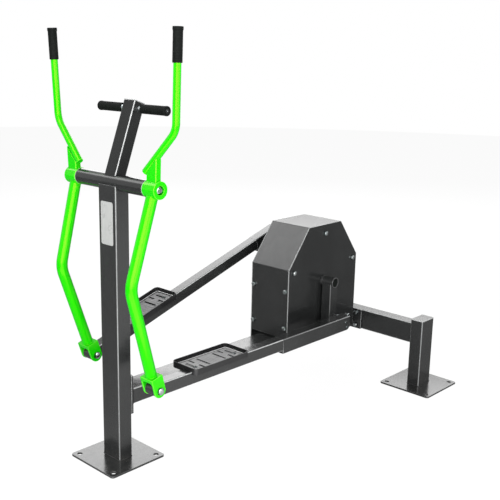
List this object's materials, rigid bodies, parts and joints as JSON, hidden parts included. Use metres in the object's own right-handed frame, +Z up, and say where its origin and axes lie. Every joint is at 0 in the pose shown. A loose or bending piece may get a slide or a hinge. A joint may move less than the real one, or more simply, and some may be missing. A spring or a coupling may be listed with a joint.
{
  "type": "outdoor cross trainer",
  "caption": "Outdoor cross trainer: swinging hand levers on a post, each tied to a pedal arm that rides on a crank in a sheet metal housing.",
  "frame": {"origin": "centre of the front base plate's underside, on the ground", "axes": "+Z up, +Y from the front post to the crank housing, +X to the side on which the rear post stands; a user on the pedals looks along -Y"},
  "size_m": [0.8932, 1.754, 1.6215],
  "materials": {
    "powder_coat": "glossy dark grey powder coat",
    "green_coat": "bright green powder coat",
    "zinc_steel": "zinc plated",
    "black_rubber": "matt moulded rubber",
    "black_plastic": "moulded, fine grain",
    "grey_nylon": "turned nylon",
    "white_plate": "plain white, blank",
    "grey_iron": "as cast, turned rim"
  },
  "bodies": {
    "frame": {"front_base_plate": "powder_coat", "rear_base_plate": "powder_coat", "front_post": "powder_coat", "rear_post": "powder_coat", "rear_caps": "powder_coat", "main_beam": "powder_coat", "front_flange": "powder_coat", "rear_flange": "powder_coat", "flange_bolts": "zinc_steel", "rear_beam": "powder_coat", "cross_tube": "powder_coat", "lever_axle": "zinc_steel", "thrust_washers": "grey_nylon", "axle_nuts": "zinc_steel", "upper_post": "powder_coat", "upper_post_cap": "powder_coat", "grip_bar": "powder_coat", "bar_grip_right": "black_rubber", "bar_grip_left": "black_rubber", "label_plate": "white_plate", "housing_shell": "powder_coat", "cover_right": "powder_coat", "cover_left": "powder_coat", "cover_bolts": "zinc_steel", "shell_bolts": "zinc_steel", "backing_plates": "powder_coat", "housing_base": "powder_coat", "bearing_stands": "powder_coat", "shaft_bearings": "zinc_steel", "shaft_seals": "black_rubber"},
    "crank": {"crank_shaft": "zinc_steel", "flywheel": "grey_iron", "crank_arm_right": "powder_coat", "crank_arm_left": "powder_coat", "crank_caps": "black_rubber"},
    "right_lever": {"right_hub": "green_coat", "right_bush": "grey_nylon", "right_lower_tube": "green_coat", "right_clevis": "green_coat", "right_pin": "zinc_steel", "right_upper_tube": "green_coat", "right_grip": "black_rubber"},
    "left_lever": {"left_hub": "green_coat", "left_bush": "grey_nylon", "left_lower_tube": "green_coat", "left_clevis": "green_coat", "left_pin": "zinc_steel", "left_upper_tube": "green_coat", "left_grip": "black_rubber"},
    "right_arm": {"right_arm_beam": "powder_coat", "right_arm_bracket": "powder_coat", "right_arm_bearing": "zinc_steel", "right_pedal": "black_plastic", "right_pedal_bolts": "zinc_steel"},
    "left_arm": {"left_arm_beam": "powder_coat", "left_arm_bracket": "powder_coat", "left_arm_bearing": "zinc_steel", "left_pedal": "black_plastic", "left_pedal_bolts": "zinc_steel"}
  },
  "joints": [
    {"name": "crank_spin", "type": "hinge", "parent": "frame", "child": "crank", "pos_m": [0, 1.128, 0.52], "axis": [1, 0, 0], "continuous": true},
    {"name": "right_lever_swing", "type": "hinge", "parent": "frame", "child": "right_lever", "pos_m": [0, 0, 1.08], "axis": [1, 0, 0], "range_deg": [-13, 14.5]},
    {"name": "left_lever_swing", "type": "hinge", "parent": "frame", "child": "left_lever", "pos_m": [0, 0, 1.08], "axis": [1, 0, 0], "range_deg": [-14.5, 13]},
    {"name": "right_arm_pivot", "type": "hinge", "parent": "right_lever", "child": "right_arm", "pos_m": [0.2215, -0.003, 0.34983], "axis": [1, 0, 0], "range_deg": [-14.5, 13]},
    {"name": "left_arm_pivot", "type": "hinge", "parent": "left_lever", "child": "left_arm", "pos_m": [-0.2215, 0.04978, 0.35152], "axis": [1, 0, 0], "range_deg": [-13, 14.5]}
  ],
  "couplings": [
    {"joint": "left_lever_swing", "follows": "right_lever_swing", "ratio": -1},
    {"joint": "right_arm_pivot", "follows": "right_lever_swing", "ratio": -1},
    {"joint": "left_arm_pivot", "follows": "right_lever_swing", "ratio": 1}
  ]
}
